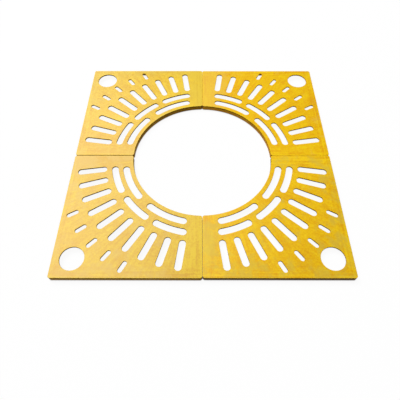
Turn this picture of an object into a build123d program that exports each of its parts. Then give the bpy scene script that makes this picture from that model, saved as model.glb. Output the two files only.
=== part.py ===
from build123d import *
import math
import os

# Tree grate in four quarter panels, laid into a square round an opening for the trunk.
# Each panel is a slotted steel plate welded on top of a rim of flat bar.
# Frame: millimetres, +Z up, origin at the middle of the underside, which lies on Z = 0.
# X points to the right and Y to the rear.

# Panel, drawn from the point where the lines of its two seam edges cross
panel_side = 499.5
opening_radius = 270.0
corner_radius = 8.0

# Steel sections
plate_thickness = 5.0
bar_depth = 15.0
bar_thickness = 6.0
plate_edge_break = 0.7
bar_edge_break = 0.6

# Open seams between the panels as they lie
left_seam_gap = 2.4
right_seam_gap = 0.3
front_seam_gap = 0.8
rear_seam_gap = 0.4

# Round hole near the outer corner, measured in from the two outer sides
corner_hole_radius = 41.5
corner_hole_inset = 67.0

# Curved slots in two rows round the opening, which stop at a plain strip along the seams
seam_strip = 54.0
opening_web = 16.0
row_web = 17.0
row_slot_width = 25.0
inner_slot_count = 2
inner_bridge = 37.5
outer_slot_count = 3
outer_bridge = 23.5

# Long straight slots, which fan out from a point set back from the seam edges
fan_setback = 15.5
long_slot_count = 10
long_slot_width = 24.0
fan_web = 22.5
side_margin = 25.0

# Short straight slots outside the long ones, on the same fan point, with a pitch in degrees
short_slot_count = 5
short_slot_pitch = 8.0
short_slot_length = 43.5
short_slot_width = 15.5
hole_web = 17.0

# The panels in turning order, from the one at the rear right
PANELS = ("rear_right", "rear_left", "front_left", "front_right")
FACINGS = ("right", "rear", "left", "front")
QUARTER_TURN = 90.0
DIAGONAL = 45.0

# Places that follow from the sizes above
inner_row_radius = opening_radius + opening_web + row_slot_width / 2
outer_row_radius = inner_row_radius + row_slot_width + row_web
corner_hole_centre = panel_side - corner_hole_inset
long_slot_pitch = QUARTER_TURN / (long_slot_count + 1)
fan_diagonal = fan_setback * math.sqrt(2)


def opening_end(inset):
    """How far along a seam edge the opening's line is met, both moved inwards by inset."""
    return math.sqrt((opening_radius + inset) ** 2 - inset**2)


def panel_outline(inset):
    """The plan of a panel with sharp corners, its whole edge moved inwards by inset."""
    outer = panel_side - inset
    start = opening_end(inset)
    middle = (opening_radius + inset) * math.cos(math.radians(DIAGONAL))
    edges = [
        Line((start, inset), (outer, inset)),
        Line((outer, inset), (outer, outer)),
        Line((outer, outer), (inset, outer)),
        Line((inset, outer), (inset, start)),
        ThreePointArc((inset, start), (middle, middle), (start, inset)),
    ]
    return make_face(edges)


def rounded_panel():
    """The plan of a panel as it is cut, with every corner rounded."""
    outline = panel_outline(0)
    return fillet(outline.vertices(), corner_radius)


def row_slots(radius, count, bridge):
    """Curved slots that share a row between the two seam strips, with bridges between them."""
    first = math.degrees(math.asin((seam_strip + row_slot_width / 2) / radius))
    step_over = math.degrees((bridge + row_slot_width) / radius)
    span = (QUARTER_TURN - 2 * first - (count - 1) * step_over) / count
    slots = []
    for place in range(count):
        start = first + place * (span + step_over)
        slots.append(SlotArc(CenterArc((0, 0), radius, start, span), row_slot_width))
    return slots


def fan_slots(count, pitch, start, end, width):
    """Straight slots from one radius of the fan to another, centred on the diagonal."""
    first = DIAGONAL - pitch * (count - 1) / 2
    slots = []
    for place in range(count):
        turn = Rot(0, 0, first + place * pitch)
        slot = SlotOverall(end - start, width)
        slots.append(Pos(fan_setback, fan_setback) * turn * Pos((start + end) / 2, 0) * slot)
    return slots


def long_slots():
    """The long slots, from a web outside the outer row to a margin inside the outer sides."""
    start = outer_row_radius + row_slot_width / 2 + fan_web - fan_diagonal
    half_width = long_slot_width / 2
    reach = panel_side - side_margin - half_width - fan_setback
    end = reach / math.cos(math.radians(long_slot_pitch)) + half_width
    return fan_slots(long_slot_count, long_slot_pitch, start, end, long_slot_width)


def short_slots():
    """The short slots, which end a web inside the corner hole, measured on the diagonal."""
    hole_edge = corner_hole_centre * math.sqrt(2) - corner_hole_radius
    end = hole_edge - hole_web - fan_diagonal
    start = end - short_slot_length
    return fan_slots(short_slot_count, short_slot_pitch, start, end, short_slot_width)


def plate():
    """The slotted plate, which lies on the rim, with its upper edges broken."""
    face = rounded_panel()
    face -= row_slots(inner_row_radius, inner_slot_count, inner_bridge)
    face -= row_slots(outer_row_radius, outer_slot_count, outer_bridge)
    face -= long_slots()
    face -= short_slots()
    face -= Pos(corner_hole_centre, corner_hole_centre) * Circle(corner_hole_radius)
    solid = Pos(0, 0, bar_depth) * extrude(face, plate_thickness)
    upper_face = solid.faces().sort_by(Axis.Z)[-1]
    return chamfer(upper_face.edges(), plate_edge_break)


def rim_ring():
    """The flat bar all round under the edge of a panel, its upper and lower edges broken."""
    ring = extrude(rounded_panel() - panel_outline(bar_thickness), bar_depth)
    level_faces = ring.faces().filter_by(Plane.XY)
    return chamfer(level_faces.edges(), bar_edge_break)


def rim_bars():
    """The five mitred flat bars that make up the ring, by the side that each one faces."""
    ring = rim_ring()
    inset = bar_thickness
    outer = panel_side
    inner = panel_side - bar_thickness
    start = opening_end(0)
    end = opening_end(bar_thickness)
    zones = {
        "right": [(outer, 0), (outer, outer), (inner, inner), (inner, inset)],
        "rear": [(outer, outer), (0, outer), (inset, inner), (inner, inner)],
        "left": [(0, outer), (0, start), (inset, end), (inset, inner)],
        "front": [(start, 0), (outer, 0), (inner, inset), (end, inset)],
        "opening": [(0, start), (0, 0), (start, 0), (end, inset), (end, end), (inset, end)],
    }
    bars = {}
    for facing, corners in zones.items():
        zone = make_face(Polyline(*corners, close=True))
        bars[facing] = ring & extrude(zone, bar_depth)
    return bars


def facing_after(facing, turns):
    """The side that a bar faces once its panel is turned by that many quarter turns."""
    if facing not in FACINGS:
        return facing
    return FACINGS[(FACINGS.index(facing) + turns) % len(FACINGS)]


def panel_place(name, turns):
    """Where a panel lies: turned into its quarter and set off by half of each open seam."""
    row, side = name.split("_")
    gap_x = rear_seam_gap if row == "rear" else front_seam_gap
    gap_y = right_seam_gap if side == "right" else left_seam_gap
    shift_x = gap_x / 2 if side == "right" else -gap_x / 2
    shift_y = gap_y / 2 if row == "rear" else -gap_y / 2
    return Pos(shift_x, shift_y) * Rot(0, 0, turns * QUARTER_TURN)


def main():
    """Build one panel, lay it four times and write each piece to a file of its own."""
    os.makedirs("parts", exist_ok=True)
    panel_plate = plate()
    panel_bars = rim_bars()
    for turns, name in enumerate(PANELS):
        place = panel_place(name, turns)
        export_step(place * panel_plate, f"parts/{name}_plate.step")
        for facing, bar in panel_bars.items():
            side = facing_after(facing, turns)
            export_step(place * bar, f"parts/{name}_bar_facing_{side}.step")


main()
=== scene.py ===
"""Looks of a square tree grate in four quarter panels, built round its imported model.

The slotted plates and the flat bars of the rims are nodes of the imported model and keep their
shapes. This script gives them their plated finish, adds the stitch welds that hold each rim to
its plate, and sets up a small studio and the camera.
"""

import logging
import math
from dataclasses import dataclass, field
from enum import Enum

import bpy
from bpy.types import Material, Node, NodeSocket, NodeTree, Object
from mathutils import Euler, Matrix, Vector


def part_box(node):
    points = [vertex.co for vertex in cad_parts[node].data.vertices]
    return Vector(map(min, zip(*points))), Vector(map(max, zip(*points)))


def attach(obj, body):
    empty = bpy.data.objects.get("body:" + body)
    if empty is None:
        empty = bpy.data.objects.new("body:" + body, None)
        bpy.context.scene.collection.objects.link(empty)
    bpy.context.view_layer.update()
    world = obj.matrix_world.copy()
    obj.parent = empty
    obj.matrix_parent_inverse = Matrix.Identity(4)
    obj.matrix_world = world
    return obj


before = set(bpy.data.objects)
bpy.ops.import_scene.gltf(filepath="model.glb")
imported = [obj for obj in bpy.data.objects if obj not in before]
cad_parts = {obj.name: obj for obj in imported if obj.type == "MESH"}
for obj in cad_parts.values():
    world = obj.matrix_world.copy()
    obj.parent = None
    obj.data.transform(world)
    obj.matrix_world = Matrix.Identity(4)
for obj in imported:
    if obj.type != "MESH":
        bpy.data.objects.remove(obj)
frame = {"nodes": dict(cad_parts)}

LOG = logging.getLogger("tree_grate")
BODY = "root"
MM = 0.001
WHITE = (1.0, 1.0, 1.0, 1.0)
NOISE_4D = {"noise_dimensions": "4D"}
SMOOTH = {"interpolation_type": "SMOOTHSTEP"}
COLOURS = {"data_type": "RGBA"}
NUMBERS = {"data_type": "FLOAT"}
Pair = tuple[float, float]
Triple = tuple[float, float, float]


class Quarter(Enum):
    """The four panels, each with the quarter turns that bring it into place."""

    REAR_RIGHT = 0
    REAR_LEFT = 1
    FRONT_LEFT = 2
    FRONT_RIGHT = 3

    @property
    def prefix(self) -> str:
        """The start of the names of this panel's nodes."""
        return self.name.lower()

    @property
    def side_x(self) -> int:
        """1 if the panel lies to the right of the middle, and -1 if to the left."""
        return 1 if self.name.endswith("RIGHT") else -1

    @property
    def side_y(self) -> int:
        """1 if the panel lies to the rear of the middle, and -1 if to the front."""
        return 1 if self.name.startswith("REAR") else -1


class Layer(Enum):
    """The patterns of the finishes, each with what it adds to the seed of its panel."""

    CLOUD = 0.0
    MOTTLE = 3.1
    SPECKLE = 5.3
    EDGE_RUNS = 7.7
    FAN_RUNS = 11.3
    DRAB_PATCHES = 17.9
    PLATE_GRAIN = 23.0
    BAR_CLOUD = 40.0
    BAR_STRIPES = 45.0
    BAR_GRAIN = 49.0


def linear(hex_value: str) -> tuple[float, float, float, float]:
    """Turn a colour as it is written into the linear one that the shaders take.

    Args:
        hex_value: An sRGB colour such as "#E8B52A".

    Returns:
        Linear red, green and blue, and an alpha of 1.
    """
    channels = []
    for start in (1, 3, 5):
        share = int(hex_value[start:start + 2], 16) / 255
        channels.append(share / 12.92 if share <= 0.04045 else ((share + 0.055) / 1.055) ** 2.4)
    return (channels[0], channels[1], channels[2], 1.0)


def per_metre(size_mm: float) -> float:
    """The scale at which a pattern on metres repeats about every size_mm millimetres."""
    return 1.0 / (size_mm * MM)


def add_node(
    tree: NodeTree,
    kind: str,
    settings: dict[str, object] | None = None,
    inputs: dict[int | str, object] | None = None,
) -> Node:
    """Add one node to a tree, with its settings and what feeds it.

    Args:
        tree: The shader or geometry tree that takes the node.
        kind: The node's type.
        settings: The node's own properties, by name.
        inputs: For an input's name or place, its plain value, a socket to link to it, or a
            node, which is linked by the first of its outputs that is in use.

    Returns:
        The new node.
    """
    node = tree.nodes.new(kind)
    for name, value in (settings or {}).items():
        setattr(node, name, value)
    for place, value in (inputs or {}).items():
        if isinstance(value, Node):
            value = next(output for output in value.outputs if output.enabled)
        if isinstance(value, NodeSocket):
            tree.links.new(value, node.inputs[place])
        else:
            node.inputs[place].default_value = value
    return node


def new_material(name: str) -> tuple[Material, NodeTree]:
    """Make an empty node material.

    Args:
        name: The finish's name.

    Returns:
        The material and its tree, which has no nodes yet.
    """
    material = bpy.data.materials.new(name)
    material.use_nodes = True
    material.node_tree.nodes.clear()
    return material, material.node_tree


def dress(piece: Object, material: Material) -> None:
    """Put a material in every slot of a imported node.

    Args:
        piece: The node's object.
        material: The finish.
    """
    if not piece.material_slots:
        piece.data.materials.append(material)
    for slot in piece.material_slots:
        slot.material = material


@dataclass(frozen=True)
class PanelSizes:
    """A panel's sizes and how far its seam edges lie from the middle, in metres."""

    seam_x: float
    seam_y: float
    side: float
    bar_thickness: float
    bar_depth: float
    opening_radius: float

    @classmethod
    def read(cls, quarter: Quarter) -> "PanelSizes":
        """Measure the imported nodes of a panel.

        The bar under the opening ends in mitres. The far corner of each mitre lies on the
        bar's outer arc, one bar thickness in from the seam, and gives the arc's radius.

        Args:
            quarter: The panel.

        Returns:
            Its sizes.
        """
        low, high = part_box(quarter.prefix + "_plate")
        seam_x = min(abs(low.x), abs(high.x))
        outer_side = "right" if quarter.side_x > 0 else "left"
        bar_low, bar_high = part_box(f"{quarter.prefix}_bar_facing_{outer_side}")
        thickness = bar_high.x - bar_low.x
        arc_low, arc_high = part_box(quarter.prefix + "_bar_facing_opening")
        mitre_reach = max(abs(arc_low.x), abs(arc_high.x)) - seam_x
        return cls(
            seam_x=seam_x,
            seam_y=min(abs(low.y), abs(high.y)),
            side=high.x - low.x,
            bar_thickness=thickness,
            bar_depth=bar_high.z - bar_low.z,
            opening_radius=math.hypot(mitre_reach, thickness) - thickness,
        )


@dataclass(frozen=True)
class SeamStrips:
    """How the film changes in the plain strips beside a panel's two seams.

    A panel hangs in the bath by one strip and drains over the other, so the film there is
    thinner or thicker than in the fan, and more or less drab. The first number of each pair is
    for the strip along Y and the second for the strip along X.
    """

    thicker: Pair
    drabber: Pair
    width_mm: float = 110.0

    def share(self, tree: NodeTree, place: Node, change: Pair) -> Node:
        """Fade a change out from each seam across its strip.

        Args:
            tree: The material's tree.
            place: The panel's own coordinates, with both seams at zero.
            change: The change right at each seam.

        Returns:
            The two changes added up.
        """
        parts = add_node(tree, "ShaderNodeSeparateXYZ", {}, {"Vector": place})
        fades = [
            add_node(tree, "ShaderNodeMapRange", SMOOTH, {
                "Value": parts.outputs[axis], "From Max": self.width_mm * MM,
                "To Min": at_seam, "To Max": 0.0,
            })
            for axis, at_seam in zip(("X", "Y"), change)
        ]
        return add_node(tree, "ShaderNodeMath", {"operation": "ADD"}, dict(enumerate(fades)))


@dataclass(frozen=True)
class PlateFilm:
    """The film on one plate: its colours, how much each one shows, and the sealer over it.

    The plate is drab where a patch pattern rises over drab_start. Its outer part, away from the
    opening, takes a little of a colour of its own: by default black, a painted shade that darkens
    it, and on a panel where that colour is pale, a painted sheen that lightens it.
    """

    thin: str
    even: str
    thick: str
    drab: str
    drab_share: float
    strips: SeamStrips
    # The cut walls' colour, darker than the face: partly the cut's own finish, partly painted
    # shade
    cut_wall: str
    drab_start: float = 0.50
    # Painted shade on the plate's outer part by default; a pale colour here paints a sheen there
    # instead
    drained: str = "#000000"
    drained_share: float = 0.05
    sealer: float = 0.57


@dataclass(frozen=True)
class BarFilm:
    """The film on one panel's bars: its colours, and how much bare metal shines through."""

    light: str
    deep: str
    metallic: float = 0.12


@dataclass(frozen=True)
class PassivatedPlateFinish:
    """Yellow passivate over electroplated zinc on pickled steel plate, sealed and satin.

    The conversion film is a few tenths of a micron thick and takes on gold of uneven depth. It
    is paler where it stayed thin, more orange where it is thick, and a drab olive where the
    bath ran off slowly along the edges. The clear sealer over it gives the white sheen.
    The real speckle and runs are well under a millimetre wide, and they are drawn some
    millimetres wide here, as coarse as a view of the whole grate needs to show them.
    """

    name: str
    seed: float
    film: PlateFilm
    quarter: Quarter
    sizes: PanelSizes
    cloud_mm: float = 60.0
    cloud_share: float = 0.65
    mottle_mm: float = 14.0
    mottle_share: float = 0.75
    speckle_mm: float = 5.5
    speckle_share: float = 0.65
    run_width_mm: float = 8.0
    edge_run_length_mm: float = 150.0
    edge_run_reach_mm: float = 60.0
    edge_run_share: float = 1.6
    fan_run_length_mm: float = 60.0
    fan_run_share: float = 0.75
    fan_setback_mm: float = 15.5
    fan_middle_mm: float = 400.0
    thin_depth: float = 0.22
    even_depth: float = 0.50
    thick_depth: float = 0.80
    drab_patch_mm: float = 48.0
    drab_fade: float = 0.18
    drab_edge_mm: float = 90.0
    drab_edge_lift: float = 0.09
    # Where the painted shade and sheen of the outer part fade in, measured from the opening
    drained_from_mm: float = 150.0
    drained_to_mm: float = 360.0
    # A painted highlight along the plate's edges: its width and strength
    bright_edge_mm: float = 6.0
    bright_edge_share: float = 0.35
    drag_line_mm: float = 1.2
    drag_line_length_mm: float = 40.0
    drag_line_share: float = 0.4
    grain_mm: float = 2.6
    grain_depth_mm: float = 0.09
    metallic: float = 0.12
    roughness: float = 0.6
    roughness_swing: float = 0.07
    surface_gloss: float = 0.05
    sealer_roughness: float = 0.36
    sealer_ior: float = 1.55
    wall_roughness: float = 0.85
    wall_sealer: float = 0.08
    wall_to_level: Pair = (0.2, 0.6)

    def material(self) -> Material:
        """Build the finish.

        Returns:
            A material in the coordinates of the panel that it is made for.
        """
        material, tree = new_material(self.name)
        place = self._panel_place(tree)
        depth = self._film_depth(tree, place)
        wall = self._wall(tree)
        # Upright walls take the darker cut-wall colour, which is partly painted shade
        colour = add_node(tree, "ShaderNodeMix", COLOURS, {
            0: wall,
            6: self._film_colour(tree, place, depth),
            7: self._cut_wall_colour(tree, place),
        })
        face_rough = add_node(tree, "ShaderNodeMapRange", {}, {
            "Value": depth,
            "To Min": self.roughness + self.roughness_swing,
            "To Max": self.roughness - self.roughness_swing,
        })
        rough = add_node(
            tree, "ShaderNodeMix", NUMBERS, {0: wall, 2: face_rough, 3: self.wall_roughness}
        )
        sealer = add_node(tree, "ShaderNodeMapRange", {}, {
            "Value": wall, "To Min": self.film.sealer, "To Max": self.wall_sealer,
        })
        shader = add_node(tree, "ShaderNodeBsdfPrincipled", {}, {
            "Base Color": colour,
            "Metallic": self.metallic,
            "Roughness": rough,
            "Specular IOR Level": self.surface_gloss,
            "Coat Weight": sealer,
            "Coat Roughness": self.sealer_roughness,
            "Coat IOR": self.sealer_ior,
            "Normal": self._relief(tree, place),
        })
        add_node(tree, "ShaderNodeOutputMaterial", {}, {"Surface": shader})
        return material

    def _panel_place(self, tree: NodeTree) -> Node:
        """Centre the coordinates on the panel's seam corner, with both seams at zero.

        Args:
            tree: The material's tree.

        Returns:
            The panel's own coordinates, in metres.
        """
        coordinates = add_node(tree, "ShaderNodeTexCoord")
        return add_node(tree, "ShaderNodeMapping", {"vector_type": "POINT"}, {
            "Vector": coordinates.outputs["Object"],
            "Location": (-self.sizes.seam_x, -self.sizes.seam_y, 0.0),
            "Scale": (self.quarter.side_x, self.quarter.side_y, 1.0),
        })

    def _film_depth(self, tree: NodeTree, place: Node) -> Node:
        """Lay out how thick the film is, from 0 where it is thin to 1.

        Args:
            tree: The material's tree.
            place: The panel's own coordinates.

        Returns:
            The film's depth.
        """
        cloudy = {"Detail": 3.0, "Roughness": 0.55, "Distortion": 0.5}
        mottled = {"Detail": 4.0, "Roughness": 0.72, "Distortion": 0.8}
        speckled = {"Detail": 1.0, "Roughness": 0.5}
        parts = []
        for layer, size_mm, share, character in (
            (Layer.CLOUD, self.cloud_mm, self.cloud_share, cloudy),
            (Layer.MOTTLE, self.mottle_mm, self.mottle_share, mottled),
            (Layer.SPECKLE, self.speckle_mm, self.speckle_share, speckled),
        ):
            noise = add_node(tree, "ShaderNodeTexNoise", NOISE_4D, {
                "Vector": place, "W": self.seed + layer.value, "Scale": per_metre(size_mm),
                **character,
            })
            parts.append((share, noise))
        parts.append((self.edge_run_share, self._edge_runs(tree, place)))
        parts.append((self.fan_run_share, self._fan_runs(tree, place)))
        # Each part is about a half, so this start brings their sum to a half as well
        depth = add_node(tree, "ShaderNodeMath", {"operation": "ADD"}, {
            0: self.film.strips.share(tree, place, self.film.strips.thicker),
            1: 0.5 - sum(share for share, _ in parts) / 2,
        })
        for share, part in parts:
            depth = add_node(
                tree, "ShaderNodeMath", {"operation": "MULTIPLY_ADD"},
                {0: part, 1: share, 2: depth},
            )
        return add_node(tree, "ShaderNodeClamp", {}, {"Value": depth})

    def _edge_distance(self, tree: NodeTree, place: Node) -> tuple[Node, Node, Node]:
        """Measure how far a point of the panel is from its edges.

        Args:
            tree: The material's tree.
            place: The panel's own coordinates.

        Returns:
            The distance to the nearer edge across X, the same across Y, and the distance to the
            opening, in metres.
        """
        parts = add_node(tree, "ShaderNodeSeparateXYZ", {}, {"Vector": place})
        nearest = []
        for axis in ("X", "Y"):
            near = parts.outputs[axis]
            far = add_node(
                tree, "ShaderNodeMath", {"operation": "SUBTRACT"}, {0: self.sizes.side, 1: near}
            )
            nearest.append(
                add_node(tree, "ShaderNodeMath", {"operation": "MINIMUM"}, {0: near, 1: far})
            )
        flat = add_node(
            tree, "ShaderNodeCombineXYZ", {}, {axis: parts.outputs[axis] for axis in ("X", "Y")}
        )
        radius = add_node(tree, "ShaderNodeVectorMath", {"operation": "LENGTH"}, {0: flat})
        opening = add_node(
            tree, "ShaderNodeMath", {"operation": "SUBTRACT"},
            {0: radius, 1: self.sizes.opening_radius},
        )
        return nearest[0], nearest[1], opening

    def _edge_runs(self, tree: NodeTree, place: Node) -> Node:
        """Draw the runs that the bath left beside the panel's straight edges.

        Args:
            tree: The material's tree.
            place: The panel's own coordinates.

        Returns:
            A value that is about a half, and varies in streaks near the edges.
        """
        across_x, across_y, _ = self._edge_distance(tree, place)
        along = per_metre(self.edge_run_length_mm)
        across = per_metre(self.run_width_mm)
        total: Node | float = 0.5
        edges = ((across_x, (across, along, 1.0)), (across_y, (along, across, 1.0)))
        for distance, scale in edges:
            stretched = add_node(
                tree, "ShaderNodeVectorMath", {"operation": "MULTIPLY"}, {0: place, 1: scale}
            )
            noise = add_node(tree, "ShaderNodeTexNoise", NOISE_4D, {
                "Vector": stretched, "W": self.seed + Layer.EDGE_RUNS.value, "Scale": 1.0,
                "Detail": 2.0, "Roughness": 0.5,
            })
            centred = add_node(
                tree, "ShaderNodeMath", {"operation": "SUBTRACT"}, {0: noise, 1: 0.5}
            )
            fade = add_node(tree, "ShaderNodeMapRange", SMOOTH, {
                "Value": distance, "From Max": self.edge_run_reach_mm * MM,
                "To Min": 1.0, "To Max": 0.0,
            })
            total = add_node(
                tree, "ShaderNodeMath", {"operation": "MULTIPLY_ADD"},
                {0: centred, 1: fade, 2: total},
            )
        return total

    def _fan_runs(self, tree: NodeTree, place: Node) -> Node:
        """Draw the runs that follow the fan of slots outwards.

        Args:
            tree: The material's tree.
            place: The panel's own coordinates.

        Returns:
            A value that is about a half, and varies in radial streaks.
        """
        setback = self.fan_setback_mm * MM
        offset = add_node(
            tree, "ShaderNodeVectorMath", {"operation": "SUBTRACT"},
            {0: place, 1: (setback, setback, 0.0)},
        )
        parts = add_node(tree, "ShaderNodeSeparateXYZ", {}, {"Vector": offset})
        angle = add_node(
            tree, "ShaderNodeMath", {"operation": "ARCTAN2"},
            {0: parts.outputs["Y"], 1: parts.outputs["X"]},
        )
        radius = add_node(tree, "ShaderNodeVectorMath", {"operation": "LENGTH"}, {0: offset})
        around = add_node(
            tree, "ShaderNodeMath", {"operation": "MULTIPLY"},
            {0: angle, 1: self.fan_middle_mm / self.run_width_mm},
        )
        outwards = add_node(
            tree, "ShaderNodeMath", {"operation": "MULTIPLY"},
            {0: radius, 1: per_metre(self.fan_run_length_mm)},
        )
        stretched = add_node(tree, "ShaderNodeCombineXYZ", {}, {"X": around, "Y": outwards})
        return add_node(tree, "ShaderNodeTexNoise", NOISE_4D, {
            "Vector": stretched, "W": self.seed + Layer.FAN_RUNS.value, "Scale": 1.0,
            "Detail": 2.0, "Roughness": 0.55,
        })

    def _film_colour(self, tree: NodeTree, place: Node, depth: Node) -> Node:
        """Colour the film by its depth, with drab patches, painted shade and sheen on the outer
        part, and a painted highlight along the edges.

        Args:
            tree: The material's tree.
            place: The panel's own coordinates.
            depth: How thick the film is.

        Returns:
            The film's colour.
        """
        ramp = add_node(tree, "ShaderNodeValToRGB", {}, {"Fac": depth})
        stops = ramp.color_ramp.elements
        stops[0].position, stops[0].color = self.thin_depth, linear(self.film.thin)
        stops[1].position, stops[1].color = self.thick_depth, linear(self.film.thick)
        stops.new(self.even_depth).color = linear(self.film.even)
        across_x, across_y, opening = self._edge_distance(tree, place)
        straight = add_node(
            tree, "ShaderNodeMath", {"operation": "MINIMUM"}, {0: across_x, 1: across_y}
        )
        # Painted shade on the plate's outer part, away from the opening; with a pale colour it is
        # a painted sheen
        drained = add_node(tree, "ShaderNodeMapRange", SMOOTH, {
            "Value": opening, "From Min": self.drained_from_mm * MM,
            "From Max": self.drained_to_mm * MM, "To Max": self.film.drained_share,
        })
        edge = add_node(
            tree, "ShaderNodeMath", {"operation": "MINIMUM"}, {0: straight, 1: opening}
        )
        # Painted highlight: a paler line along every edge of the plate, where the edge would
        # catch the light
        bright = add_node(tree, "ShaderNodeMapRange", SMOOTH, {
            "Value": edge, "From Max": self.bright_edge_mm * MM,
            "To Min": self.bright_edge_share, "To Max": 0.0,
        })
        colour = ramp
        for share, over in (
            (self._drab_patches(tree, place, straight), self.film.drab),
            (drained, self.film.drained),
            (bright, self.film.thin),
        ):
            colour = add_node(
                tree, "ShaderNodeMix", COLOURS, {0: share, 6: colour, 7: linear(over)}
            )
        return colour

    def _drab_patches(self, tree: NodeTree, place: Node, straight: Node) -> Node:
        """Spread the drab patches, which are commoner near the edges.

        Args:
            tree: The material's tree.
            place: The panel's own coordinates.
            straight: The distance to the nearest straight edge.

        Returns:
            The drab colour's share.
        """
        patches = add_node(tree, "ShaderNodeTexNoise", NOISE_4D, {
            "Vector": place, "W": self.seed + Layer.DRAB_PATCHES.value,
            "Scale": per_metre(self.drab_patch_mm), "Detail": 5.0, "Roughness": 0.68,
            "Distortion": 0.4,
        })
        by_edge = add_node(tree, "ShaderNodeMapRange", SMOOTH, {
            "Value": straight, "From Max": self.drab_edge_mm * MM,
            "To Min": self.drab_edge_lift, "To Max": 0.0,
        })
        strips = self.film.strips.share(tree, place, self.film.strips.drabber)
        lifted = add_node(
            tree, "ShaderNodeMath", {"operation": "ADD"}, {0: strips, 1: by_edge}
        )
        raised = add_node(
            tree, "ShaderNodeMath", {"operation": "ADD"}, {0: patches, 1: lifted}
        )
        return add_node(tree, "ShaderNodeMapRange", SMOOTH, {
            "Value": raised, "From Min": self.film.drab_start,
            "From Max": self.film.drab_start + self.drab_fade, "To Max": self.film.drab_share,
        })

    def _wall(self, tree: NodeTree) -> Node:
        """Tell the cut walls from the rolled faces.

        Args:
            tree: The material's tree.

        Returns:
            A value that is 1 on upright walls and 0 on level faces.
        """
        geometry = add_node(tree, "ShaderNodeNewGeometry")
        facing = add_node(
            tree, "ShaderNodeSeparateXYZ", {}, {"Vector": geometry.outputs["True Normal"]}
        )
        level = add_node(
            tree, "ShaderNodeMath", {"operation": "ABSOLUTE"}, {0: facing.outputs["Z"]}
        )
        wall_below, level_above = self.wall_to_level
        return add_node(tree, "ShaderNodeMapRange", {}, {
            "Value": level, "From Min": wall_below, "From Max": level_above,
            "To Min": 1.0, "To Max": 0.0,
        })

    def _cut_wall_colour(self, tree: NodeTree, place: Node) -> Node:
        """Colour the cut walls, which the beam left rougher and with upright drag lines. They are
        darker than the faces, partly the cut's own finish and partly painted shade, set per panel
        to the shade its walls are in.

        Args:
            tree: The material's tree.
            place: The panel's own coordinates.

        Returns:
            The walls' colour.
        """
        across = per_metre(self.drag_line_mm)
        stretched = add_node(
            tree, "ShaderNodeVectorMath", {"operation": "MULTIPLY"},
            {0: place, 1: (across, across, per_metre(self.drag_line_length_mm))},
        )
        noise = add_node(
            tree, "ShaderNodeTexNoise", {}, {"Vector": stretched, "Scale": 1.0, "Detail": 1.0}
        )
        lines = add_node(tree, "ShaderNodeMapRange", {}, {
            "Value": noise, "From Min": 0.35, "From Max": 0.75, "To Max": self.drag_line_share,
        })
        return add_node(tree, "ShaderNodeMix", COLOURS, {
            0: lines, 6: linear(self.film.cut_wall), 7: linear(self.film.even),
        })

    def _relief(self, tree: NodeTree, place: Node) -> Node:
        """Give the surface the fine grain of pickled steel.

        Args:
            tree: The material's tree.
            place: The panel's own coordinates.

        Returns:
            The grain's normal.
        """
        grain = add_node(tree, "ShaderNodeTexNoise", NOISE_4D, {
            "Vector": place, "W": self.seed + Layer.PLATE_GRAIN.value,
            "Scale": per_metre(self.grain_mm), "Detail": 3.0, "Roughness": 0.6,
        })
        return add_node(tree, "ShaderNodeBump", {}, {
            "Height": grain, "Strength": 0.6, "Distance": self.grain_depth_mm * MM,
        })


@dataclass(frozen=True)
class PassivatedBarFinish:
    """Yellow passivate over electroplated zinc on rolled flat bar, sealed and satin.

    The mill scale came off in the bath and left the bar a little rougher than the plate, so its
    gold is deeper and less even, with long stripes from the rolls.
    """

    name: str
    seed: float
    film: BarFilm
    cloud_mm: float = 40.0
    stripe_mm: float = 3.0
    stripe_length_mm: float = 150.0
    stripe_share: float = 0.35
    light_depth: float = 0.30
    deep_depth: float = 0.70
    grain_mm: float = 2.0
    grain_depth_mm: float = 0.12
    roughness: float = 0.72
    roughness_swing: float = 0.1
    surface_gloss: float = 0.15
    sealer: float = 0.1
    sealer_roughness: float = 0.4

    def material(self) -> Material:
        """Build the finish.

        Returns:
            The material.
        """
        material, tree = new_material(self.name)
        place = add_node(tree, "ShaderNodeTexCoord").outputs["Object"]
        cloud = add_node(tree, "ShaderNodeTexNoise", NOISE_4D, {
            "Vector": place, "W": self.seed + Layer.BAR_CLOUD.value,
            "Scale": per_metre(self.cloud_mm), "Detail": 5.0, "Roughness": 0.6,
        })
        along = per_metre(self.stripe_length_mm)
        stretched = add_node(
            tree, "ShaderNodeVectorMath", {"operation": "MULTIPLY"},
            {0: place, 1: (along, along, per_metre(self.stripe_mm))},
        )
        stripe = add_node(tree, "ShaderNodeTexNoise", NOISE_4D, {
            "Vector": stretched, "W": self.seed + Layer.BAR_STRIPES.value, "Scale": 1.0,
            "Detail": 2.0,
        })
        depth = add_node(
            tree, "ShaderNodeMix", NUMBERS, {0: self.stripe_share, 2: cloud, 3: stripe}
        )
        ramp = add_node(tree, "ShaderNodeValToRGB", {}, {"Fac": depth})
        stops = ramp.color_ramp.elements
        stops[0].position, stops[0].color = self.light_depth, linear(self.film.light)
        stops[1].position, stops[1].color = self.deep_depth, linear(self.film.deep)
        rough = add_node(tree, "ShaderNodeMapRange", {}, {
            "Value": cloud,
            "To Min": self.roughness - self.roughness_swing,
            "To Max": self.roughness + self.roughness_swing,
        })
        grain = add_node(tree, "ShaderNodeTexNoise", NOISE_4D, {
            "Vector": place, "W": self.seed + Layer.BAR_GRAIN.value,
            "Scale": per_metre(self.grain_mm), "Detail": 3.0,
        })
        relief = add_node(tree, "ShaderNodeBump", {}, {
            "Height": grain, "Strength": 0.7, "Distance": self.grain_depth_mm * MM,
        })
        shader = add_node(tree, "ShaderNodeBsdfPrincipled", {}, {
            "Base Color": ramp,
            "Metallic": self.film.metallic,
            "Roughness": rough,
            "Specular IOR Level": self.surface_gloss,
            "Coat Weight": self.sealer,
            "Coat Roughness": self.sealer_roughness,
            "Normal": relief,
        })
        add_node(tree, "ShaderNodeOutputMaterial", {}, {"Surface": shader})
        return material


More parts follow.
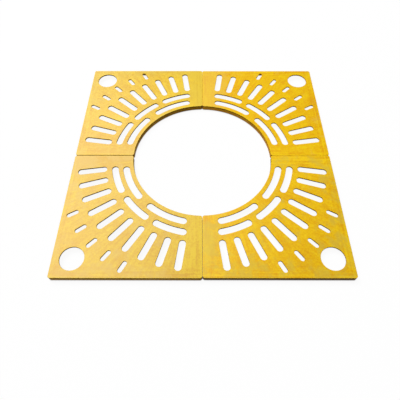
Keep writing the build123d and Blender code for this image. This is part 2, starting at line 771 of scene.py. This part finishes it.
@dataclass(frozen=True)
class PassivatedWeldFinish:
    """Yellow passivate over electroplated zinc on weld metal.

    The silicon in weld metal takes the film unevenly, so the beads are duller than the bars
    and brown in places.
    """

    name: str = "passivated_weld_metal"
    light: str = "#CF9F2E"
    deep: str = "#8E661A"
    light_depth: float = 0.68
    deep_depth: float = 0.32
    blotch_mm: float = 3.0
    pit_depth_mm: float = 0.15
    metallic: float = 0.35
    roughness: float = 0.5
    sealer: float = 0.2
    sealer_roughness: float = 0.35

    def material(self) -> Material:
        """Build the finish, or take the one that another panel's beads have.

        Returns:
            The material.
        """
        made = bpy.data.materials.get(self.name)
        if made is not None:
            return made
        material, tree = new_material(self.name)
        noise = add_node(tree, "ShaderNodeTexNoise", {}, {
            "Vector": add_node(tree, "ShaderNodeTexCoord").outputs["Object"],
            "Scale": per_metre(self.blotch_mm), "Detail": 4.0,
        })
        ramp = add_node(tree, "ShaderNodeValToRGB", {}, {"Fac": noise})
        stops = ramp.color_ramp.elements
        stops[0].position, stops[0].color = self.deep_depth, linear(self.deep)
        stops[1].position, stops[1].color = self.light_depth, linear(self.light)
        relief = add_node(tree, "ShaderNodeBump", {}, {
            "Height": noise, "Strength": 0.6, "Distance": self.pit_depth_mm * MM,
        })
        shader = add_node(tree, "ShaderNodeBsdfPrincipled", {}, {
            "Base Color": ramp,
            "Metallic": self.metallic,
            "Roughness": self.roughness,
            "Coat Weight": self.sealer,
            "Coat Roughness": self.sealer_roughness,
            "Normal": relief,
        })
        add_node(tree, "ShaderNodeOutputMaterial", {}, {"Surface": shader})
        return material


@dataclass(frozen=True)
class StitchWeld:
    """Short fillet welds at an even pitch along a path, each a row of overlapping ripples.

    The ripple's size along the bead, across it and out of the corner is given in legs, and so
    is how far its middle stands out of the corner.
    """

    stitch_mm: float = 30.0
    pitch_mm: float = 105.0
    leg_mm: float = 4.0
    ripple_mm: float = 2.2
    ripple_size: Triple = (0.72, 0.90, 0.60)
    ripple_lean_deg: float = 24.0
    stand_out: float = 0.28
    uneven: Pair = (0.90, 1.08)
    end_size: float = 0.68
    tree_name: str = "stitch_welds"
    seed: int = 4

    def tree(self) -> NodeTree:
        """Build the geometry tree, or take the one that another panel's beads have.

        Returns:
            A tree that turns a mesh of loose edges into weld beads along them.
        """
        made = bpy.data.node_groups.get(self.tree_name)
        if made is not None:
            return made
        tree = bpy.data.node_groups.new(self.tree_name, "GeometryNodeTree")
        tree.is_modifier = True
        for name, kind in (
            ("Path", "NodeSocketGeometry"),
            ("Stitch Length", "NodeSocketFloat"),
            ("Pitch", "NodeSocketFloat"),
            ("Leg", "NodeSocketFloat"),
            ("Ripple Spacing", "NodeSocketFloat"),
            ("Seed", "NodeSocketInt"),
            ("Finish", "NodeSocketMaterial"),
        ):
            tree.interface.new_socket(name, in_out="INPUT", socket_type=kind)
        tree.interface.new_socket("Beads", in_out="OUTPUT", socket_type="NodeSocketGeometry")
        sizes = add_node(tree, "NodeGroupInput")
        curve = add_node(tree, "GeometryNodeMeshToCurve", {}, {"Mesh": sizes.outputs["Path"]})
        even = add_node(
            tree, "GeometryNodeResampleCurve", {"mode": "LENGTH"},
            {"Curve": curve, "Length": sizes.outputs["Ripple Spacing"]},
        )
        marked = add_node(
            tree, "GeometryNodeStoreNamedAttribute", {"data_type": "FLOAT", "domain": "POINT"},
            {"Geometry": even, "Name": "inside", "Value": self._inside_stitch(tree, sizes)},
        )
        points = add_node(
            tree, "GeometryNodeCurveToPoints", {"mode": "EVALUATED"}, {"Curve": marked}
        )
        inside = add_node(tree, "GeometryNodeInputNamedAttribute", NUMBERS, {"Name": "inside"})
        between = add_node(
            tree, "FunctionNodeCompare", {"data_type": "FLOAT", "operation": "LESS_THAN"},
            {0: inside, 1: 0.0},
        )
        kept = add_node(
            tree, "GeometryNodeDeleteGeometry", {"domain": "POINT"},
            {"Geometry": points, "Selection": between},
        )
        outwards = self._outwards(tree, points.outputs["Tangent"])
        lift = add_node(
            tree, "ShaderNodeMath", {"operation": "MULTIPLY"},
            {0: sizes.outputs["Leg"], 1: self.stand_out},
        )
        offset = add_node(
            tree, "ShaderNodeVectorMath", {"operation": "SCALE"}, {0: outwards, "Scale": lift}
        )
        placed = add_node(
            tree, "GeometryNodeSetPosition", {}, {"Geometry": kept, "Offset": offset}
        )
        turned = add_node(
            tree, "FunctionNodeAxesToRotation", {"primary_axis": "Z", "secondary_axis": "X"},
            {"Primary Axis": outwards, "Secondary Axis": points.outputs["Tangent"]},
        )
        beads = add_node(tree, "GeometryNodeInstanceOnPoints", {}, {
            "Points": placed,
            "Instance": self._ripple(tree, sizes),
            "Rotation": turned,
            "Scale": self._ripple_scale(tree, sizes, inside),
        })
        real = add_node(tree, "GeometryNodeRealizeInstances", {}, {"Geometry": beads})
        smooth = add_node(tree, "GeometryNodeSetShadeSmooth", {}, {"Geometry": real})
        dressed = add_node(
            tree, "GeometryNodeSetMaterial", {},
            {"Geometry": smooth, "Material": sizes.outputs["Finish"]},
        )
        add_node(tree, "NodeGroupOutput", {}, {"Beads": dressed})
        return tree

    def _inside_stitch(self, tree: NodeTree, sizes: Node) -> Node:
        """Share each path out in stitches of even pitch.

        Args:
            tree: The geometry tree.
            sizes: The node of the tree's inputs.

        Returns:
            How far a point is inside its stitch, below 0 between stitches.
        """
        along = add_node(tree, "GeometryNodeSplineParameter")
        whole = add_node(tree, "GeometryNodeSplineLength")
        wished = add_node(
            tree, "ShaderNodeMath", {"operation": "DIVIDE"}, {0: whole, 1: sizes.outputs["Pitch"]}
        )
        count = add_node(tree, "ShaderNodeMath", {"operation": "ROUND"}, {0: wished})
        step = add_node(tree, "ShaderNodeMath", {"operation": "DIVIDE"}, {0: whole, 1: count})
        phase = add_node(
            tree, "ShaderNodeMath", {"operation": "MODULO"},
            {0: along.outputs["Length"], 1: step},
        )
        from_middle = add_node(
            tree, "ShaderNodeMath", {"operation": "MULTIPLY_ADD"}, {0: step, 1: -0.5, 2: phase}
        )
        away = add_node(tree, "ShaderNodeMath", {"operation": "ABSOLUTE"}, {0: from_middle})
        half = add_node(
            tree, "ShaderNodeMath", {"operation": "MULTIPLY"},
            {0: sizes.outputs["Stitch Length"], 1: 0.5},
        )
        return add_node(tree, "ShaderNodeMath", {"operation": "SUBTRACT"}, {0: half, 1: away})

    def _outwards(self, tree: NodeTree, tangent: NodeSocket) -> Node:
        """Find the way that the face of a bead looks: down and away from the bar.

        Args:
            tree: The geometry tree.
            tangent: The path's direction, with the inside of the panel to its left.

        Returns:
            The unit vector.
        """
        inwards = add_node(
            tree, "ShaderNodeVectorMath", {"operation": "CROSS_PRODUCT"},
            {0: (0.0, 0.0, 1.0), 1: tangent},
        )
        down = add_node(
            tree, "ShaderNodeVectorMath", {"operation": "ADD"}, {0: inwards, 1: (0.0, 0.0, -1.0)}
        )
        return add_node(tree, "ShaderNodeVectorMath", {"operation": "NORMALIZE"}, {0: down})

    def _ripple(self, tree: NodeTree, sizes: Node) -> Node:
        """Shape one ripple, a flattened drop that leans back along the bead.

        Args:
            tree: The geometry tree.
            sizes: The node of the tree's inputs.

        Returns:
            The ripple.
        """
        drop = add_node(
            tree, "GeometryNodeMeshUVSphere", {}, {"Segments": 10, "Rings": 6, "Radius": 1.0}
        )
        scale = add_node(
            tree, "ShaderNodeVectorMath", {"operation": "SCALE"},
            {0: self.ripple_size, "Scale": sizes.outputs["Leg"]},
        )
        sized = add_node(tree, "GeometryNodeTransform", {}, {"Geometry": drop, "Scale": scale})
        lean = Euler((0.0, math.radians(self.ripple_lean_deg), 0.0))
        return add_node(tree, "GeometryNodeTransform", {}, {"Geometry": sized, "Rotation": lean})

    def _ripple_scale(self, tree: NodeTree, sizes: Node, inside: Node) -> Node:
        """Vary the ripples a little, and let the bead run out at its ends.

        Args:
            tree: The geometry tree.
            sizes: The node of the tree's inputs.
            inside: How far a point is inside its stitch.

        Returns:
            The ripple's scale.
        """
        smallest, largest = self.uneven
        uneven = add_node(
            tree, "FunctionNodeRandomValue", NUMBERS,
            {2: smallest, 3: largest, "Seed": sizes.outputs["Seed"]},
        )
        run_out = add_node(
            tree, "ShaderNodeMapRange", {},
            {"Value": inside, "From Max": sizes.outputs["Leg"], "To Min": self.end_size},
        )
        return add_node(
            tree, "ShaderNodeMath", {"operation": "MULTIPLY"}, {0: uneven, 1: run_out}
        )

    def beads(self, name: str, paths: list[list[Triple]], finish: Material) -> Object:
        """Lay the beads along some paths and make them one plain mesh.

        Args:
            name: The new piece's name.
            paths: The inside corners between bars and plate, in metres.
            finish: The beads' material.

        Returns:
            The object, at the origin.
        """
        host_mesh = bpy.data.meshes.new(name + "_path")
        vertices = [point for path in paths for point in path]
        edges = []
        first = 0
        for path in paths:
            edges += [(first + place, first + place + 1) for place in range(len(path) - 1)]
            first += len(path)
        host_mesh.from_pydata(vertices, edges, [])
        host = bpy.data.objects.new(name + "_path", host_mesh)
        bpy.context.scene.collection.objects.link(host)
        tree = self.tree()
        modifier = host.modifiers.new(self.tree_name, "NODES")
        modifier.node_group = tree
        values = {
            "Stitch Length": self.stitch_mm * MM,
            "Pitch": self.pitch_mm * MM,
            "Leg": self.leg_mm * MM,
            "Ripple Spacing": self.ripple_mm * MM,
            "Seed": self.seed,
            "Finish": finish,
        }
        for socket in tree.interface.items_tree:
            if socket.item_type == "SOCKET" and socket.name in values:
                modifier[socket.identifier] = values[socket.name]
        evaluated = host.evaluated_get(bpy.context.evaluated_depsgraph_get())
        mesh = bpy.data.meshes.new_from_object(evaluated)
        mesh.name = name
        if not mesh.materials:
            mesh.materials.append(finish)
        piece = bpy.data.objects.new(name, mesh)
        bpy.context.scene.collection.objects.link(piece)
        bpy.data.objects.remove(host)
        bpy.data.meshes.remove(host_mesh)
        return piece


@dataclass(frozen=True)
class QuarterPanel:
    """One of the four welded panels: its plate, its five rim bars and the welds under it."""

    quarter: Quarter
    seed: float
    plate_film: PlateFilm
    bar_film: BarFilm
    weld: StitchWeld = field(default_factory=StitchWeld)
    weld_finish: PassivatedWeldFinish = field(default_factory=PassivatedWeldFinish)
    arc_steps: int = 48

    def build(self, nodes: dict[str, Object]) -> list[Object]:
        """Dress the panel's nodes and add its welds.

        Args:
            nodes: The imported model's nodes by name.

        Returns:
            The panel's pieces.
        """
        sizes = PanelSizes.read(self.quarter)
        plate = self._dress_plate(nodes, sizes)
        return [plate, *self._dress_bars(nodes), self._add_welds(sizes)]

    def _dress_plate(self, nodes: dict[str, Object], sizes: PanelSizes) -> Object:
        """Give the slotted plate its finish.

        Args:
            nodes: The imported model's nodes by name.
            sizes: The panel's sizes.

        Returns:
            The plate.
        """
        finish = PassivatedPlateFinish(
            name=f"passivated_zinc_plate_{self.quarter.prefix}",
            seed=self.seed,
            film=self.plate_film,
            quarter=self.quarter,
            sizes=sizes,
        )
        plate = nodes[self.quarter.prefix + "_plate"]
        dress(plate, finish.material())
        return plate

    def _dress_bars(self, nodes: dict[str, Object]) -> list[Object]:
        """Give the five rim bars their finish.

        Args:
            nodes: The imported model's nodes by name.

        Returns:
            The bars.
        """
        finish = PassivatedBarFinish(
            name=f"passivated_zinc_flat_bar_{self.quarter.prefix}",
            seed=self.seed,
            film=self.bar_film,
        )
        material = finish.material()
        start = self.quarter.prefix + "_bar"
        bars = [nodes[name] for name in sorted(nodes) if name.startswith(start)]
        for bar in bars:
            dress(bar, material)
        return bars

    def _add_welds(self, sizes: PanelSizes) -> Object:
        """Lay the stitch welds in the inside corners between the bars and the plate.

        Args:
            sizes: The panel's sizes.

        Returns:
            The piece that holds all of this panel's beads.
        """
        name = self.quarter.prefix + "_weld_beads"
        piece = self.weld.beads(name, self._weld_paths(sizes), self.weld_finish.material())
        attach(piece, BODY)
        return piece

    def _weld_paths(self, sizes: PanelSizes) -> list[list[Triple]]:
        """Find the inside corners under the plate, the inside of the panel to their left.

        Args:
            sizes: The panel's sizes.

        Returns:
            One path for each bar, in metres.
        """
        inset = sizes.bar_thickness
        inner = sizes.side - inset
        ring = sizes.opening_radius + inset
        start_angle = math.acos(inset / ring)
        end = ring * math.sin(start_angle)
        corners = [(end, inset), (inner, inset), (inner, inner), (inset, inner), (inset, end)]
        plans = [list(run) for run in zip(corners, corners[1:])]
        step = (math.pi / 2 - 2 * start_angle) / self.arc_steps
        angles = [start_angle + step * place for place in range(self.arc_steps + 1)]
        plans.append([(ring * math.cos(angle), ring * math.sin(angle)) for angle in angles])
        turn = math.pi / 2 * self.quarter.value
        shift_x = self.quarter.side_x * sizes.seam_x
        shift_y = self.quarter.side_y * sizes.seam_y
        return [
            [
                (
                    x * math.cos(turn) - y * math.sin(turn) + shift_x,
                    x * math.sin(turn) + y * math.cos(turn) + shift_y,
                    sizes.bar_depth,
                )
                for x, y in plan
            ]
            for plan in plans
        ]


@dataclass(frozen=True)
class Studio:
    """A pale seamless floor under a soft lamp, in a room whose ceiling is dim."""

    floor_size: float = 60.0
    floor_drop: float = 0.0005
    floor_grey: str = "#6C6C6A"
    floor_glow: float = 1.0
    floor_shade_share: float = 0.06
    contact_reach: float = 0.003
    contact_samples: int = 8
    lamp_direction: Triple = (-0.375, 0.46, 0.805)
    lamp_distance: float = 16.0
    lamp_size: float = 11.0
    lamp_power: float = 2950.0
    room_level: float = 0.16
    ceiling_level: float = 0.03
    wall_to_ceiling: Pair = (0.02, 0.22)

    def build(self) -> None:
        """Make the floor, the lamp and the room."""
        self._floor()
        self._lamp()
        self._room()
        LOG.info("studio: floor, lamp and room")

    def _seen(self, tree: NodeTree) -> Node:
        """Tell the rays that show the background from those that light the object.

        Args:
            tree: The floor's or the room's tree.

        Returns:
            A value that is 1 for camera, glossy and transmission rays, and else 0.
        """
        path = add_node(tree, "ShaderNodeLightPath")
        first = add_node(
            tree, "ShaderNodeMath", {"operation": "MAXIMUM"},
            {0: path.outputs["Is Camera Ray"], 1: path.outputs["Is Glossy Ray"]},
        )
        return add_node(
            tree, "ShaderNodeMath", {"operation": "MAXIMUM"},
            {0: first, 1: path.outputs["Is Transmission Ray"]},
        )

    def _floor(self) -> None:
        """Lay the floor, white where it is seen and mid grey where it only lights."""
        half = self.floor_size / 2
        mesh = bpy.data.meshes.new("studio_floor")
        corners = [(-half, -half), (half, -half), (half, half), (-half, half)]
        mesh.from_pydata([(x, y, -self.floor_drop) for x, y in corners], [], [(0, 1, 2, 3)])
        floor = bpy.data.objects.new("studio_floor", mesh)
        bpy.context.scene.collection.objects.link(floor)
        material, tree = new_material("white_studio_paper")
        grey = add_node(tree, "ShaderNodeBsdfDiffuse", {}, {"Color": linear(self.floor_grey)})
        paper = add_node(tree, "ShaderNodeBsdfDiffuse", {}, {"Color": WHITE})
        white = add_node(
            tree, "ShaderNodeEmission", {}, {"Color": WHITE, "Strength": self.floor_glow}
        )
        crevice = add_node(
            tree, "ShaderNodeAmbientOcclusion", {"samples": self.contact_samples},
            {"Distance": self.contact_reach},
        )
        share = add_node(
            tree, "ShaderNodeMapRange", {},
            {"Value": crevice.outputs["AO"], "To Min": 1.0, "To Max": self.floor_shade_share},
        )
        shaded = add_node(tree, "ShaderNodeMixShader", {}, {0: share, 1: white, 2: paper})
        seen = self._seen(tree)
        chosen = add_node(tree, "ShaderNodeMixShader", {}, {0: seen, 1: grey, 2: shaded})
        add_node(tree, "ShaderNodeOutputMaterial", {}, {"Surface": chosen})
        mesh.materials.append(material)

    def _lamp(self) -> None:
        """Hang the soft lamp up at the rear left, facing the middle of the grate."""
        direction = Vector(self.lamp_direction).normalized()
        data = bpy.data.lights.new("soft_lamp", "AREA")
        data.shape = "SQUARE"
        data.size = self.lamp_size
        data.energy = self.lamp_power
        lamp = bpy.data.objects.new("soft_lamp", data)
        lamp.location = direction * self.lamp_distance
        lamp.rotation_euler = (-direction).to_track_quat("-Z", "Y").to_euler()
        bpy.context.scene.collection.objects.link(lamp)

    def _room(self) -> None:
        """Light the room dimly. In the gloss its white walls fade into a dark ceiling."""
        world = bpy.data.worlds.new("studio_room")
        bpy.context.scene.world = world
        world.use_nodes = True
        tree = world.node_tree
        tree.nodes.clear()
        path = add_node(tree, "ShaderNodeLightPath")
        coordinates = add_node(tree, "ShaderNodeTexCoord")
        parts = add_node(
            tree, "ShaderNodeSeparateXYZ", {}, {"Vector": coordinates.outputs["Generated"]}
        )
        wall_top, ceiling = self.wall_to_ceiling
        mirrored = add_node(tree, "ShaderNodeMapRange", SMOOTH, {
            "Value": parts.outputs["Z"], "From Min": wall_top, "From Max": ceiling,
            "To Min": 1.0, "To Max": self.ceiling_level,
        })
        lit = add_node(
            tree, "ShaderNodeMix", NUMBERS, {0: self._seen(tree), 2: self.room_level, 3: mirrored}
        )
        level = add_node(
            tree, "ShaderNodeMix", NUMBERS, {0: path.outputs["Is Camera Ray"], 2: lit, 3: 1.0}
        )
        glow = add_node(tree, "ShaderNodeBackground", {}, {"Color": WHITE, "Strength": level})
        add_node(tree, "ShaderNodeOutputWorld", {}, {"Surface": glow})
        bpy.context.scene.view_settings.view_transform = "Standard"


@dataclass(frozen=True)
class GrateCamera:
    """The camera, in front of the grate and above it."""

    location: Triple = (-0.004895, -0.880630, 1.122961)
    turn_deg: Triple = (31.43355, 0.11417, 0.13691)
    lens_mm: float = 31.9842
    sensor_mm: float = 36.0
    clip_start: float = 0.01
    clip_end: float = 200.0

    def build(self) -> None:
        """Make the camera and let the scene use it."""
        data = bpy.data.cameras.new("grate_camera")
        data.lens = self.lens_mm
        data.sensor_width = self.sensor_mm
        data.clip_start = self.clip_start
        data.clip_end = self.clip_end
        camera = bpy.data.objects.new("grate_camera", data)
        camera.location = self.location
        camera.rotation_euler = Euler([math.radians(angle) for angle in self.turn_deg], "XYZ")
        bpy.context.scene.collection.objects.link(camera)
        bpy.context.scene.camera = camera
        LOG.info("camera: %s", self.location)


PANELS = (
    QuarterPanel(
        Quarter.REAR_RIGHT,
        seed=2.0,
        plate_film=PlateFilm(
            thin="#FAD202", even="#F4C100", thick="#EBA900",
            drab="#EDC650", drab_share=0.45, drab_start=0.58,
            strips=SeamStrips(thicker=(-0.05, -0.06), drabber=(0.36, -0.06), width_mm=200.0),
            cut_wall="#D09812", drained_share=0.02, sealer=0.36,
        ),
        bar_film=BarFilm("#E8AA10", "#C4860A", metallic=0.48),
    ),
    QuarterPanel(
        Quarter.REAR_LEFT,
        seed=14.0,
        plate_film=PlateFilm(
            thin="#F4CF20", even="#E6BB02", thick="#D8A600", drab="#E0C03A", drab_share=0.5,
            strips=SeamStrips(thicker=(-0.28, 0.26), drabber=(0.12, 0.0), width_mm=230.0),
            cut_wall="#A47312",
        ),
        bar_film=BarFilm("#EAB01A", "#BE8811"),
    ),
    QuarterPanel(
        Quarter.FRONT_LEFT,
        seed=27.0,
        plate_film=PlateFilm(
            thin="#EAC712", even="#DFB502", thick="#D3A300", drab="#D9B650", drab_share=0.5,
            strips=SeamStrips(thicker=(-0.22, 0.24), drabber=(-0.20, 0.08)),
            # This panel's outer part takes a painted sheen, a paler gold, instead of painted
            # shade
            cut_wall="#A87616", drained="#F2C058", drained_share=0.16,
        ),
        bar_film=BarFilm("#F0BA24", "#CC961C"),
    ),
    QuarterPanel(
        Quarter.FRONT_RIGHT,
        seed=35.0,
        plate_film=PlateFilm(
            thin="#FCD30C", even="#F3C100", thick="#E8AA00", drab="#DBBE40", drab_share=0.6,
            strips=SeamStrips(thicker=(0.04, -0.16), drabber=(0.05, -0.04)),
            cut_wall="#A0720F", sealer=0.44,
        ),
        # These bars' colours are painted shade: far darker than the other panels' bars, for the
        # front wall that faces away from the lamp
        bar_film=BarFilm("#9A6E0A", "#704E06"),
    ),
)


def main() -> None:
    """Build the camera, the panels and the studio."""
    logging.basicConfig(level=logging.INFO, format="%(name)s: %(message)s")
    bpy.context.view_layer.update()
    GrateCamera().build()
    for panel in PANELS:
        for piece in panel.build(frame["nodes"]):
            LOG.info("%s: %d faces", piece.name, len(piece.data.polygons))
    Studio().build()


if __name__ == "__main__":
    main()
